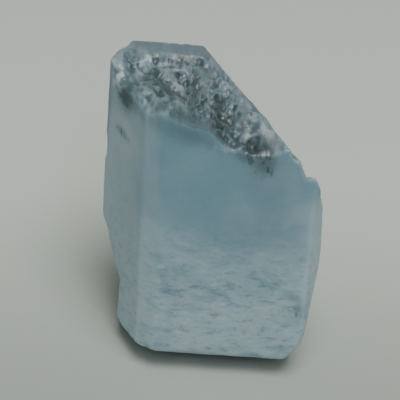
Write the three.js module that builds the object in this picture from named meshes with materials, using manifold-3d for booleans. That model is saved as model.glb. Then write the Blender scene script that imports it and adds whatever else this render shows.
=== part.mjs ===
// Aquamarine crystal: one hexagonal beryl prism, broken across at its ends.
// Millimetres, +Z up. The broad prism face looks along -Y and the long axis stands on +Z.
// While it is built, the front left upright edge stands at x = 0, y = 0, and z = 0 is the lower rim of the
// prism faces. The lower break bulges below that rim and is flat in the middle, where the crystal rests.
import * as THREE from 'three';
import { mergeVertices } from 'three/addons/utils/BufferGeometryUtils.js';
import Module from 'manifold-3d';

// ---- Prism (mm, degrees) ----
const DEPTH = 21.0; // broad front face to back face
const FRONT_WIDTH = 24.95; // broad prism face
const BEVEL_WIDTH = 3.6; // narrow face between the broad face and the left face
const LEFT_WIDTH = 14.4; // left prism face
const RIGHT_WIDTH = 4.2; // narrow prism face on the right
const EDGE_WEAR = 0.35; // how far each upright edge is worn back
const PRISM_TURN = 60; // each prism face turns this much from the last
const BEVEL_TURN = 30; // the bevel face turns half as much
const SPARE = 3; // extra stock above and below the breaks, cut away with them
const STOCK = 90; // size of the blocks that only cut
const MIDDLE = new THREE.Vector2(8.5, 10.5); // middle of the cross-section

// ---- Top break ----
const TOP = 48.4; // flat cleavage terrace at the back
const TERRACE_FRONT = 16.8; // where the terrace ends towards the front
const SCARP_DROP = 0.9; // fall from the terrace to the rough ground in front of it
// Height of the break along the broad front face, from left to right.
const FRONT_RIM = [
  [0.7, 47.7], [5.6, 45.1], [7.6, 45.3], [9.2, 42.6], [15.7, 40.3], [18.0, 40.6], [20.0, 42.0],
];
// The upper part ends on the right at a slanting side, from the front face to the back face.
const SLANT_FRONT = new THREE.Vector2(20.4, 0);
const SLANT_BACK = new THREE.Vector2(5.1, DEPTH);
const SLANT_FRONT_HEIGHT = 42.1;
const SLANT_LEAN = 17; // degrees, the slanting side spreads out downwards
const RIM_BAND = [1.7, 2.7]; // smooth just inside the slanting rim, rough beyond this far in
const CORNER_BAND = [2.6, 4.4]; // the same round the left corner
const LEFT_BACK_BAND = [0.8, 2.0]; // and along the left back face
const TERRACE_BAND = 0.4; // the terrace's front edge breaks up over this much on either side
const TOP_BREAK_SIZE = [42, 25]; // the block that cuts it
const LEFT_TAPER_HEIGHT = 20; // the far left edge is worn back above this height
const LEFT_TAPER = 1.6; // degrees

// ---- Rough ground of a break ----
const GRID_STEP = 1.1; // spacing of a broken surface's points
const FLUTE_STEP = [1.35, 3.1]; // spacing of the flutes, across and along
const FLUTE_WIDTH = [0.8, 2.1];
const FLUTE_LENGTH = [2.4, 5.2];
const FLUTE_DEPTH = [0.4, 1.3];
const FLUTE_LEAN = 0.22; // radians, most that a flute leans or turns
const HOLLOW_STEP = [1.3, 1.45]; // spacing of the small angular hollows between the flutes
const HOLLOW_SIZE = [0.7, 1.8];
const HOLLOW_DEPTH = [0.2, 0.8];
const HOLLOW_LEAN = 0.8;
const FACET_SIZE = 3.2; // typical width of a facet on the larger breaks
const FACET_TILT = 0.28; // steepest slope of such a facet
const FACET_STEP = 0.35; // height step between neighbouring facets

// ---- Right side ----
const STEP_OUT = 1.1; // the little growth step below the slanting side stands out this far
const STEP_HEIGHT = 40.1;
const SHOULDER_HEIGHT = 37.1;
const SHOULDER_FALL = 39; // degrees, the shoulder falls away to the back
const SHOULDER_ROUGHNESS = 0.7; // share of the facets' relief that the shoulder shows
const SHOULDER_SIZE = [44, 60]; // the block that cuts it
const WAIST_HEIGHT = 18.6; // the narrow right face is widest here
const TAPER_TOP = 3.5; // degrees, how it narrows above
const TAPER_BOTTOM = 7; // degrees, how it narrows below

// ---- Lower break ----
const BELLY = 5.0; // how far the lower break bulges below the rim
const BELLY_RUN = 7.0; // distance in from the rim to the flat patch that the crystal rests on
const BELLY_CURVE = 1.3; // above 1, the bulge is steeper near the rim
const BELLY_ROUGHNESS = 0.5; // share of the facets' relief that the bulge shows
const BELLY_GRID = 1.75; // spacing of the lower break's points
const LOWER_BREAK_SIZE = [44, 26]; // the block that cuts it

// ---- Broken left foot ----
const FOOT_LEFT = -6.75; // the foot's left side on the ground
const FOOT_TOP = 8.8; // height of the notch above the foot
const FOOT_BREAK_TOP = 17.6; // the break runs out into the upright edge here
const NOTCH_DEPTH = 0.4; // how far the notch is cut in behind the foot's left side
const FOOT_ROUGHNESS = 0.7; // share of the facets' relief that the break above the foot shows
const FOOT_BREAK_SIZE = [40, 40]; // the block that cuts it

const toRadians = THREE.MathUtils.degToRad;
const { clamp, lerp, smoothstep } = THREE.MathUtils;
const wasm = await Module();
wasm.setup();

// A closed geometry, placed by a matrix, as a solid that can be joined and cut.
function solid(geometry, matrix = new THREE.Matrix4()) {
  const bare = geometry.index ? geometry.toNonIndexed() : geometry.clone();
  bare.deleteAttribute('normal');
  bare.deleteAttribute('uv');
  bare.applyMatrix4(matrix);
  const merged = mergeVertices(bare, 1e-4);
  return new wasm.Manifold(new wasm.Mesh({
    numProp: 3,
    vertProperties: new Float32Array(merged.attributes.position.array),
    triVerts: new Uint32Array(merged.index.array),
  }));
}

function joined(solids) {
  return solids.reduce((all, next) => all.add(next));
}

// Repeatable random numbers from 0 to 1 for a cell of a grid.
function cellRandom(i, j, salt) {
  const wave = Math.sin(i * 127.1 + j * 311.7 + salt * 74.7) * 43758.5453;
  return wave - Math.floor(wave);
}

// Height along a line of [place, height] points, straight between them.
function alongLine(points, place) {
  const last = points[points.length - 1];
  if (place <= points[0][0]) {
    return points[0][1];
  }
  if (place >= last[0]) {
    return last[1];
  }
  const index = points.findIndex((point) => point[0] > place);
  const [fromPlace, fromHeight] = points[index - 1];
  const [toPlace, toHeight] = points[index];
  return lerp(fromHeight, toHeight, (place - fromPlace) / (toPlace - fromPlace));
}

// ---- Prism ----
// Walks round the cross-section, one face after another.
function prismCorners() {
  const heading = (degrees, length) => {
    return new THREE.Vector2(length, 0).rotateAround(new THREE.Vector2(), toRadians(degrees));
  };
  const origin = new THREE.Vector2(0, 0);
  const frontRight = new THREE.Vector2(FRONT_WIDTH, 0);
  const right = frontRight.clone().add(heading(PRISM_TURN, RIGHT_WIDTH));
  const run = 1 / Math.tan(toRadians(PRISM_TURN));
  const backRight = new THREE.Vector2(right.x - (DEPTH - right.y) * run, DEPTH);
  const bevel = heading(180 - BEVEL_TURN, BEVEL_WIDTH);
  const left = bevel.clone().add(heading(180 - PRISM_TURN, LEFT_WIDTH));
  const backLeft = new THREE.Vector2(left.x + (DEPTH - left.y) * run, DEPTH);
  return [origin, frontRight, right, backRight, backLeft, left, bevel];
}

const CORNERS = prismCorners();
const LEFT_CORNER = CORNERS[5]; // upright edge on the far left
const RIGHT_CORNER = CORNERS[2];

function wornOutline(corners) {
  const shape = new THREE.Shape();
  corners.forEach((corner, index) => {
    const before = corners[(index + corners.length - 1) % corners.length];
    const after = corners[(index + 1) % corners.length];
    const into = corner.clone().add(before.clone().sub(corner).setLength(EDGE_WEAR));
    const out = corner.clone().add(after.clone().sub(corner).setLength(EDGE_WEAR));
    if (index === 0) {
      shape.moveTo(into.x, into.y);
    } else {
      shape.lineTo(into.x, into.y);
    }
    shape.quadraticCurveTo(corner.x, corner.y, out.x, out.y);
  });
  shape.closePath();
  return shape;
}

function prism() {
  const stock = new THREE.ExtrudeGeometry(wornOutline(CORNERS), {
    depth: SPARE + BELLY + TOP + SPARE,
    bevelEnabled: false,
    curveSegments: 3,
  });
  stock.translate(0, 0, -BELLY - SPARE);
  return solid(stock);
}

// ---- Broken surfaces ----
function turnedTo(facing, at) {
  const normal = new THREE.Vector3(...facing).normalize();
  const turn = new THREE.Quaternion().setFromUnitVectors(new THREE.Vector3(0, 0, 1), normal);
  return new THREE.Matrix4().makeRotationFromQuaternion(turn).setPosition(...at);
}

// Low facets: each is a tilted plane round a jittered cell centre, so neighbours meet in small steps.
function facetRelief(x, y, salt) {
  const column = Math.floor(x / FACET_SIZE);
  const row = Math.floor(y / FACET_SIZE);
  let nearest = Infinity;
  let relief = 0;
  for (let i = column - 1; i <= column + 1; i += 1) {
    for (let j = row - 1; j <= row + 1; j += 1) {
      const centreX = (i + 0.15 + 0.7 * cellRandom(i, j, salt + 1)) * FACET_SIZE;
      const centreY = (j + 0.15 + 0.7 * cellRandom(i, j, salt + 2)) * FACET_SIZE;
      const distance = Math.hypot(x - centreX, y - centreY);
      if (distance < nearest) {
        nearest = distance;
        const tiltX = (cellRandom(i, j, salt + 3) - 0.5) * 2 * FACET_TILT;
        const tiltY = (cellRandom(i, j, salt + 4) - 0.5) * 2 * FACET_TILT;
        const step = (cellRandom(i, j, salt + 5) - 0.5) * 2 * FACET_STEP;
        relief = step + (x - centreX) * tiltX + (y - centreY) * tiltY;
      }
    }
  }
  return relief;
}

// A thick block whose lower side is a broken surface. It is set down on `at`, its back along `facing`,
// and takes away everything beyond that surface.
function breaker({ at, facing, size: [width, length], thick = 30, grid = GRID_STEP, relief }) {
  const columns = Math.round(width / grid);
  const rows = Math.round(length / grid);
  const block = new THREE.BoxGeometry(width, length, thick, columns, rows, 1);
  const position = block.attributes.position;
  for (let index = 0; index < position.count; index += 1) {
    const low = position.getZ(index) < 0;
    position.setZ(index, low ? relief(position.getX(index), position.getY(index)) : thick);
  }
  return solid(block, turnedTo(facing, at));
}

// A block that takes away everything beyond a flat plane.
function beyondPlane(at, facing) {
  const block = new THREE.BoxGeometry(STOCK, STOCK, STOCK);
  block.translate(0, 0, STOCK / 2);
  return solid(block, turnedTo(facing, at));
}

// A block between two heights, which limits where a cut works.
function layer(low, high) {
  const box = new THREE.BoxGeometry(STOCK, STOCK, high - low);
  return solid(box, new THREE.Matrix4().makeTranslation(0, 0, (low + high) / 2));
}

// A shell-shaped chip: a squashed ball with its flat side facing out of the crystal.
function chip([x, y, z], facing, radius, thickness) {
  const ball = new THREE.SphereGeometry(radius, 22, 14);
  ball.scale(1, 1, thickness / radius);
  return solid(ball, turnedTo(facing, [x, y, z]));
}

// ---- Top break ----
// Rounded or hollow places: x, y, radius, height (negative is a hollow).
const TOP_FEATURES = [
  { x: LEFT_CORNER.x, y: LEFT_CORNER.y, radius: 4.6, height: 0.8 }, // raised block at the left corner
  { x: 12.1, y: 7.6, radius: 2.4, height: 1.6 }, // knob near the slanting rim
  { x: 14.6, y: 4.7, radius: 2.4, height: 1.6 }, // second knob, further down it
  { x: 2.6, y: 10.5, radius: 4.4, height: -1.2 },
  { x: 6.6, y: 5.8, radius: 3.6, height: -1.0 },
];

// How far a point stands in from the slanting side.
function insideSlant(x, y) {
  const along = SLANT_BACK.clone().sub(SLANT_FRONT).normalize();
  return along.y * (SLANT_FRONT.x - x) - along.x * (SLANT_FRONT.y - y);
}

// How far a point stands in from the left back face.
function insideLeftBack(x, y) {
  const normal = toRadians(180 - BEVEL_TURN);
  return (LEFT_CORNER.x - x) * Math.cos(normal) + (LEFT_CORNER.y - y) * Math.sin(normal);
}

function terraceFront(x) {
  return TERRACE_FRONT + 0.5 * Math.sin(1.9 * x) + 0.3 * Math.sin(4.3 * x + 1);
}

// Share of rough ground at a place of the top: none on the terrace, the rims and the left corner.
function topRoughness(x, y) {
  const terrace = smoothstep(y, terraceFront(x) - TERRACE_BAND, terraceFront(x) + TERRACE_BAND);
  const rimBand = 1 - smoothstep(insideSlant(x, y), ...RIM_BAND);
  const cornerBand = 1 - smoothstep(Math.hypot(x - LEFT_CORNER.x, y - LEFT_CORNER.y), ...CORNER_BAND);
  const leftBackRim = 1 - smoothstep(insideLeftBack(x, y), ...LEFT_BACK_BAND);
  return 1 - Math.max(terrace, rimBand, cornerBand, leftBackRim);
}

function topHeight(x, y) {
  const slantShare = clamp((x - SLANT_BACK.x) / (SLANT_FRONT.x - SLANT_BACK.x), 0, 1);
  const backHeight = lerp(TOP, SLANT_FRONT_HEIGHT, slantShare);
  const backPlace = Math.max(lerp(SLANT_BACK.y, SLANT_FRONT.y, slantShare), 0.5);
  const share = clamp(y / backPlace, 0, 1);
  let height = lerp(alongLine(FRONT_RIM, x), backHeight, Math.pow(share, 0.6));
  const behindRim = smoothstep(y, 0.2, 2.4);
  height = Math.min(height, TOP) - SCARP_DROP * topRoughness(x, y) * behindRim;
  for (const feature of TOP_FEATURES) {
    const reach = Math.hypot(x - feature.x, y - feature.y) / feature.radius;
    height += feature.height * Math.max(0, 1 - reach * reach);
  }
  return height;
}

// Blocks whose lowest corner or edge bites into the rough ground, set out on a jittered grid.
// Each stands on its edge and leans a little, so it leaves two or three flat facets.
function angularBites({ step, width, length, depth, lean, salt }) {
  const bites = [];
  for (let i = Math.floor(LEFT_CORNER.x / step[0]) - 1; i * step[0] < SLANT_FRONT.x; i += 1) {
    for (let j = 0; j * step[1] < DEPTH; j += 1) {
      const share = (offset) => cellRandom(i, j, salt + offset);
      const between = (range, offset) => lerp(range[0], range[1], share(offset));
      const x = (i + 0.8 * share(1)) * step[0];
      const y = (j + 0.8 * share(2)) * step[1];
      const long = between(length, 5);
      const ends = [topRoughness(x, y - 0.4 * long), topRoughness(x, y + 0.4 * long)];
      const bite = between(depth, 3) * Math.min(topRoughness(x, y), ...ends);
      if (bite < depth[0] * 0.6) {
        continue;
      }
      const wide = between(width, 4);
      const block = new THREE.BoxGeometry(wide, long, wide * 1.6);
      const turn = (offset, most) => (share(offset) - 0.5) * 2 * most;
      block.rotateY(Math.PI / 4 + turn(6, 0.35));
      block.rotateX(turn(7, lean));
      block.rotateZ(turn(8, lean) + 0.25);
      block.computeBoundingBox();
      block.translate(x, y, topHeight(x, y) - bite - block.boundingBox.min.z);
      bites.push(solid(block));
    }
  }
  return joined(bites);
}

function roughGround() {
  const flutes = angularBites({
    step: FLUTE_STEP,
    width: FLUTE_WIDTH,
    length: FLUTE_LENGTH,
    depth: FLUTE_DEPTH,
    lean: FLUTE_LEAN,
    salt: 10,
  });
  const hollows = angularBites({
    step: HOLLOW_STEP,
    width: HOLLOW_SIZE,
    length: HOLLOW_SIZE,
    depth: HOLLOW_DEPTH,
    lean: HOLLOW_LEAN,
    salt: 31,
  });
  return joined([flutes, hollows]);
}

// Steep clefts running forward from the terrace: middle, turn from the depth axis, length, width, depth.
const CLEFTS = [
  { at: [-3.6, 13.0], turn: 20, length: 7.0, width: 1.5, depth: 2.6 },
  { at: [4.4, 14.2], turn: 24, length: 7.0, width: 1.3, depth: 2.4 },
  { at: [0.4, 14.4], turn: 6, length: 5.0, width: 0.9, depth: 1.8 },
  { at: [-6.4, 9.2], turn: -32, length: 5.0, width: 2.0, depth: 2.6 }, // deep pit near the left corner
];

function clefts() {
  return joined(CLEFTS.map(({ at, turn, length, width, depth }) => {
    const wedge = new THREE.ConeGeometry(1, 2 * depth, 4, 1); // a pyramid, its point turned down
    wedge.rotateX(-Math.PI / 2);
    wedge.rotateZ(Math.PI / 4);
    wedge.scale(width / Math.SQRT2, length / 2, 1);
    wedge.rotateZ(toRadians(turn));
    wedge.translate(...at, topHeight(...at));
    return solid(wedge);
  }));
}

function topBreak() {
  const even = breaker({
    at: [MIDDLE.x, MIDDLE.y, 0],
    facing: [0, 0, 1],
    size: TOP_BREAK_SIZE,
    thick: TOP + 2 * SPARE,
    relief: (x, y) => topHeight(x + MIDDLE.x, y + MIDDLE.y),
  });
  return joined([even, roughGround(), clefts()]);
}

// ---- Right side: slanting side, growth step, shoulder and worn edge ----
// The slanting side holds the upper rim's line and spreads outwards as it goes down.
function slantingSide(out) {
  const front = new THREE.Vector3(SLANT_FRONT.x + out, SLANT_FRONT.y, SLANT_FRONT_HEIGHT);
  const back = new THREE.Vector3(SLANT_BACK.x + out, SLANT_BACK.y, TOP);
  const rim = back.clone().sub(front);
  const outward = new THREE.Vector3(rim.y, -rim.x, 0).normalize();
  const down = outward.multiplyScalar(Math.tan(toRadians(SLANT_LEAN))).add(new THREE.Vector3(0, 0, -1));
  const facing = rim.cross(down).negate();
  return beyondPlane(front.toArray(), facing.toArray());
}

function shoulder() {
  const fall = toRadians(SHOULDER_FALL);
  return breaker({
    at: [23.5, 0, SHOULDER_HEIGHT],
    facing: [0.05, Math.sin(fall), Math.cos(fall)],
    size: SHOULDER_SIZE,
    relief: (x, y) => SHOULDER_ROUGHNESS * facetRelief(x, y, 40),
  });
}

function rightSideBreaks() {
  const upper = slantingSide(0).intersect(layer(STEP_HEIGHT, TOP + 2 * SPARE));
  const lower = slantingSide(STEP_OUT).intersect(shoulder());
  const taper = (degrees) => Math.tan(toRadians(degrees));
  const edge = [RIGHT_CORNER.x, RIGHT_CORNER.y, WAIST_HEIGHT];
  return joined([
    upper,
    lower,
    beyondPlane(edge, [1, 0.1, taper(TAPER_TOP)]),
    beyondPlane(edge, [1, 0.1, -taper(TAPER_BOTTOM)]),
    beyondPlane([24.7, 0, SHOULDER_HEIGHT - 0.1], [0.72, 0.35, 0.42]), // worn outer corner of the shoulder
    beyondPlane([24.1, 0, 2.0], [0.87, -0.44, -0.22]), // broken front corner of the foot, above
    beyondPlane([22.6, 0, 0], [0.75, -0.38, -0.55]), // and below, round to the lower break
  ]);
}

// ---- Left foot: broken inwards, with a notch above the part that stands ----
function leftFootBreak() {
  const notch = FOOT_LEFT + NOTCH_DEPTH;
  const breakLine = new THREE.Vector2(FOOT_BREAK_TOP - FOOT_TOP, LEFT_CORNER.x - notch);
  const above = breaker({
    at: [notch, LEFT_CORNER.y, FOOT_TOP],
    facing: [-breakLine.x, 0.4, breakLine.y],
    size: FOOT_BREAK_SIZE,
    relief: (x, y) => FOOT_ROUGHNESS * facetRelief(x, y, 60),
  }).intersect(layer(FOOT_TOP, FOOT_BREAK_TOP + 6));
  const footLayer = layer(-BELLY - 2 * SPARE, FOOT_TOP + 0.2);
  const foot = beyondPlane([FOOT_LEFT, 12.0, 0], [-1, 0.03, 0.04]).intersect(footLayer);
  const wornAbove = beyondPlane(
    [LEFT_CORNER.x, LEFT_CORNER.y, LEFT_TAPER_HEIGHT],
    [-1, 0.3, Math.tan(toRadians(LEFT_TAPER))],
  );
  return joined([above, foot, wornAbove]);
}

// ---- Lower break: a low bulge that is flat where the crystal rests ----
// How far a place stands in from the nearest prism face.
function insidePrism(x, y) {
  const insets = CORNERS.map((corner, index) => {
    const along = CORNERS[(index + 1) % CORNERS.length].clone().sub(corner).normalize();
    return along.x * (y - corner.y) - along.y * (x - corner.x);
  });
  return Math.min(...insets);
}

function bellyRise(x, y) {
  const inset = clamp(insidePrism(x, y) / BELLY_RUN, 0, 1);
  if (inset === 1) {
    return 0;
  }
  const facets = BELLY_ROUGHNESS * facetRelief(x, y, 80) * Math.min(1, 0.3 + 2 * inset);
  return Math.max(0, BELLY * Math.pow(1 - inset, BELLY_CURVE) + facets);
}

function lowerBreak() {
  return breaker({
    at: [MIDDLE.x, MIDDLE.y, -BELLY],
    facing: [0, 0, -1],
    size: LOWER_BREAK_SIZE,
    grid: BELLY_GRID,
    relief: (x, y) => -bellyRise(MIDDLE.x - x, MIDDLE.y + y),
  });
}

// ---- Shell-shaped chips: place, direction it faces, radius, thickness ----
const CHIPS = [
  [[16.4, 11.0, 40.6], [0.8, 0.55, 0.1], 4.6, 1.0],
  [[20.6, 5.6, 37.6], [0.78, 0.5, 0.3], 3.8, 0.8],
  [[10.4, 18.8, 42.0], [0.72, 0.66, 0.15], 4.6, 1.0],
  [[13.4, 17.0, 38.0], [0.7, 0.6, 0.3], 6.4, 1.3],
  [[18.8, 11.6, 33.0], [0.62, 0.5, 0.55], 6.0, 1.1],
  [[24.6, 6.2, 31.0], [0.75, 0.45, 0.45], 5.2, 0.9],
  [[-2.5, 21.3, 1.4], [-0.1, 0.9, -0.45], 7.0, 1.6],
  [[15.6, 20.8, 1.6], [0.55, 0.75, -0.35], 6.4, 1.9],
  [[8.2, 21.4, 0.6], [0, 0.85, -0.5], 5.0, 1.2],
  [[16.1, 21.3, 21.0], [0.5, 0.86, 0.1], 5.4, 1.0],
  [[-9.9, 14.4, 32.0], [-0.9, 0.35, 0], 2.6, 0.35],
  [[26.4, 4.4, 9.0], [0.9, 0.2, -0.1], 3.4, 0.5],
  [[6.2, -0.25, -0.1], [0, -0.75, -0.65], 3.0, 0.4],
  [[16.4, -0.2, -0.1], [0, -0.8, -0.6], 2.4, 0.35],
];

// ---- Growth steps: shallow slabs missing from a prism face, all along the long axis ----
// Middle of the slab on the face, face's outward heading in degrees, width, depth.
const GROWTH_STEPS = [
  { at: [9.3, 21.0], heading: 90, width: 5.4, depth: 0.35 },
  { at: [0.4, 21.0], heading: 90, width: 2.6, depth: 0.22 },
  { at: [20.9, 13.8], heading: 30, width: 4.6, depth: 0.35 },
  { at: [24.6, 7.4], heading: 30, width: 1.8, depth: 0.2 },
  { at: [-7.5, 17.6], heading: 150, width: 2.4, depth: 0.25 },
];

function growthSteps() {
  return joined(GROWTH_STEPS.map(({ at, heading, width, depth }) => {
    const slab = new THREE.BoxGeometry(2 * depth, width, 2 * STOCK);
    slab.rotateZ(toRadians(heading));
    slab.translate(...at, 0);
    return solid(slab);
  }));
}

// Cutting can leave crumbs, which fall away.
function largestPiece(whole) {
  const volume = (piece) => piece.volume();
  return whole.decompose().sort((one, other) => volume(other) - volume(one))[0];
}

const cuts = joined([
  topBreak(),
  rightSideBreaks(),
  leftFootBreak(),
  lowerBreak(),
  growthSteps(),
  ...CHIPS.map((values) => chip(...values)),
]);
const crystal = largestPiece(prism().subtract(cuts));

const mesh = crystal.getMesh();
const geometry = new THREE.BufferGeometry();
geometry.setAttribute('position', new THREE.BufferAttribute(mesh.vertProperties, 3));
geometry.setIndex(new THREE.BufferAttribute(mesh.triVerts, 1));
geometry.computeBoundingBox();
const box = geometry.boundingBox;
geometry.translate(-(box.min.x + box.max.x) / 2, -(box.min.y + box.max.y) / 2, -box.min.z);
geometry.computeVertexNormals();

const beryl = new THREE.MeshStandardMaterial({ color: 0x7d99a0, roughness: 0.35, metalness: 0 });
const aquamarine = new THREE.Mesh(geometry, beryl);
aquamarine.name = 'aquamarine_crystal';

const group = new THREE.Group();
group.add(aquamarine);

export default group;
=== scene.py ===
"""Aquamarine crystal: a milky hexagonal beryl prism, broken across at its ends, on a plain pale floor."""
import math
import random

import bmesh
import bpy
import numpy as np
from bpy.props import FloatProperty, FloatVectorProperty, IntProperty, PointerProperty
from mathutils import Matrix, Vector, noise
from mathutils.bvhtree import BVHTree


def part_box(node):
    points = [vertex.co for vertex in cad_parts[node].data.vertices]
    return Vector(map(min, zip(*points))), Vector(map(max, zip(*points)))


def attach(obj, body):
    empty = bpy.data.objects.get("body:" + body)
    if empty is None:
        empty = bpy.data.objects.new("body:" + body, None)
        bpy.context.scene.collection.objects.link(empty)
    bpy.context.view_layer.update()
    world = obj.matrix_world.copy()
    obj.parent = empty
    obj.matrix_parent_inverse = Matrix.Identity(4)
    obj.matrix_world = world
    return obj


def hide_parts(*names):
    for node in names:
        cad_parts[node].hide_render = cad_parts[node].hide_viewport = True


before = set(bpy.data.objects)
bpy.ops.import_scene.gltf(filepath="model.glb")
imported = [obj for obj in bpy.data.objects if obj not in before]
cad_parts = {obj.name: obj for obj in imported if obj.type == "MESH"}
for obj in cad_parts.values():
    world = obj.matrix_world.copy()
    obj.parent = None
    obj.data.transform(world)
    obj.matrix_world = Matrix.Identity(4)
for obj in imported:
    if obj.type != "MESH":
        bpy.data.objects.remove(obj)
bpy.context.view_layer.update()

bl_info = {
    "name": "Aquamarine Crystal",
    "version": (1, 0, 0),
    "blender": (4, 5, 0),
    "location": "View3D > Sidebar > Crystal",
    "description": "Milky beryl prism with etched faces, glassy breaks and sealed veils",
    "category": "Object",
}


def linear(hex_colour):
    """A colour given as an sRGB hex string, as the linear red, green and blue that Blender works in."""
    parts = [int(hex_colour[i:i + 2], 16) / 255 for i in (1, 3, 5)]
    return tuple(p / 12.92 if p <= 0.04045 else ((p + 0.055) / 1.055) ** 2.4 for p in parts)


NODE = "aquamarine_crystal"
CRYSTAL = "beryl_crystal"  # the finished crystal, in place of the node
BODY = "root"
MM = 0.001

CRYSTAL_TOP = Vector(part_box(NODE)[1]).z
RIM_LEVEL = 5.0  # millimetres from the ground to the lower rim of the prism faces

# The crystal's mesh.
MERGE = 0.002 * MM  # points of the CAD solid that are nearer to each other than this are one
UPRIGHT = 0.02  # a face whose normal rises less than this is a natural prism face
TOP_ZONE = 16 * MM  # the rough ground lies this far below the top
RIM_ZONE = 1.2 * MM  # the mesh is fine this near to the top break
SLANT_ACROSS, SLANT_UP = 0.5, 0.1  # a broken face that looks more to the side and up than this stays coarse
LOW_RIMS = 25 * MM  # rims lower than this are worn, the ones above it are fresh
RIM_SOFTNESS = 0.8 * MM  # worn rims between prism faces and breaks are rounded this far to each side
RIM_PASSES = 3
FADING = 0.25  # above this share, the top break fades into a prism face, and its rim is rounded too
FADING_PASSES = 100
SMOOTHING = 0.5  # how far a pass moves a point towards the middle of its neighbours
NOISE_STEPS = (3.7, 1.3, 2.1)  # how far the noise shifts along each axis from one seed to the next

# The relief. A span is where a soft step starts and ends, and heights are from the ground.
TOP_SPAN = (CRYSTAL_TOP - 20 * MM, CRYSTAL_TOP - 12 * MM)
RELIEF_EDGE = (-0.1 * MM, 0.25 * MM)  # from prism face to break, by how much nearer the break is
FOOT_RELIEF = 0.25  # share of the relief that the lower breaks have
FLUTES = ((1, 0.25, 0.25), 1.6, 1, 0.8)  # stretch along each axis, size in facet sizes, seed, share of depth
CRUMBS = ((1, 0.5, 0.5), 0.75, 3, 1.5)
GROWTH_STRETCH = (1, 1, 0.02)  # growth lines run along the crystal
GROWTH_SEED = 4
RIM_REACH = 0.7 * MM  # how soon the wear ends beside a rim
WORN_SPAN = (12 * MM, 30 * MM)  # the rims are less and less worn between these heights
CHIPS = ((1.5 * MM, 5), (0.7 * MM, 6))  # size and seed
EVEN_WEAR, CHIPPED_WEAR = 0.35, 1.6  # in the chosen rim wear
CELLS = 32  # the scattered cells of the chips repeat after this many
CELL_VALUES = 7  # a cell has a place, a height and a tilt
FACET_SCALE, FACET_LIFT = 0.7, 0.15  # these bring most of the heights between 0 and 1

# The zones that the material reads.
ZONE_EDGE = (-0.1 * MM, 0.2 * MM)  # from prism face to break
BREAK_REACH = 1.0 * MM  # how far the break's finish reaches over its rim
FADING_REACH = 3.2 * MM  # and how much further where it fades into a prism face
LEFT_EDGE = 8.7 * MM  # the left edge of the broad front face lies this far left of the middle
LEFT_SOFTNESS = 0.3 * MM
CLEAR_SPAN = (2 * MM, 44 * MM)  # the stone is clearer and clearer between these heights
# Milkier stone and painted light: the left face is made less clear, so lighter, standing in for light that
# shines through the stone onto it.
CLEAR_FOOT, CLEAR_RISE, CLEAR_LEFT = 0.08, 0.75, 0.3  # at the foot, more at the top, less on the left face
MOST = 1.5  # the strength at which overlapping dark or pale patches end
# The hollows below set where shade is painted into the break, and the crests where light is painted onto it.
HOLLOW_PASSES = 24  # how wide the ground is that a hollow or a crest is measured against
HOLLOW_DEPTH = 0.4 * MM  # a hollow this much deeper than a crest has the full contrast
LEVEL = 0.5  # level ground counts as half a hollow
# Painted shade: where the break fades into a prism face, its ground is painted darker, as if more of it were
# hollow.
FADING_HOLLOW = 0.3  # and as this much more of one where the break fades
WISP_SPAN = (12 * MM, 36 * MM)  # the wisps end between these heights
WISP_REST = 0.12  # share of them that is left above
CRUSHED = 0.3  # ground more granular than this has crisp facets

# Places in the stone: middle and radii in millimetres, with z from the lower rim, and a strength.
SMOOTH_PATCHES = [
    ((-4, 10.5, 48.4), (18, 4.0, 6), 1.8),  # terrace at the back of the top
    ((5.5, 4.5, 44.5), (3.2, 12, 8), 2.0),  # band along the slanting rim
    ((10, -7, 42), (3, 4, 3), 0.8),
    ((5, -4.5, 44.5), (3.4, 3.4, 4), 0.9),  # knobs
    ((-2.5, 3, 46.6), (2.4, 3.4, 3), 0.9),  # slanting block
]
GRANULAR_PATCHES = [
    ((-4, 0, 46), (10, 6, 5), 1.5),  # middle of the rough ground
    ((0.5, -5, 43), (3, 6, 5), 1.2),
    ((-6, 6.4, 47.8), (6, 2.2, 3), 0.7),  # front step of the terrace
]
CLEAR_PATCHES = [
    ((-4, -10, 36), (9, 9, 10), 0.45),  # deepest blue, upper middle
]
FADING_PATCHES = [
    ((-5, -10, 44), (10, 6, 6), 1.2),  # the break fades into the front face here
    ((-15.5, -2, 44), (4, 8, 7), 1.4),  # and into the left face
]
MILKY_AND_LIT_PATCHES = [
    # Milkier stone and painted light: the left face and the narrow right face are made milkier and lighter,
    # standing in for light that shines through the stone onto them.
    ((-16, -2, 24), (6, 9, 34), 0.9),  # left face
    ((17.5, -7, 20), (3, 8, 18), 0.9),  # narrow right face
    ((4, -10, 4), (14, 6, 9), 0.15),  # near the foot
]
# Painted shade and dark reflection: these patches darken the stone below the ledge, in the pits of the break,
# on sides turned from the light, and over the highlights in front of the terrace.
PAINTED_SHADE_PATCHES = [
    ((8.0, -10, 38.8), (3.0, 3, 3.4), 0.85),  # below the ledge
    ((4.8, -9.8, 40.8), (2.8, 2, 2.6), 0.75),
    ((1.4, -8, 42.6), (1.8, 3, 2.4), 0.7),
    ((5.8, -8.8, 41.6), (3.4, 1.6, 1.6), 1.0),
    ((0.2, -5, 43.8), (2.2, 6, 3.4), 0.9),  # left of the knobs
    ((-15.2, -2.4, 45.2), (3.0, 3.4, 3.0), 1.2),  # pit near the left corner
    ((-15.6, -1.8, 37.8), (2.6, 4, 1.2), 0.7),
    ((-6, -2, 46), (9, 6, 4), 0.55),  # the rough ground as a whole
    ((-11, 2, 47.2), (2.6, 4, 3), 0.8),  # wedge in front of the terrace
    ((-9.5, -1.5, 46.6), (3, 3, 3), 0.5),
    ((-4, 2, 46.6), (0.9, 4, 3), 0.8),  # shaded side of the slanting block
    ((-6.0, 6.6, 47.8), (3.4, 1.6, 1.8), 0.75),
    ((15.6, -10, 10.6), (1.6, 3, 3.4), 0.55),
]
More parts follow.
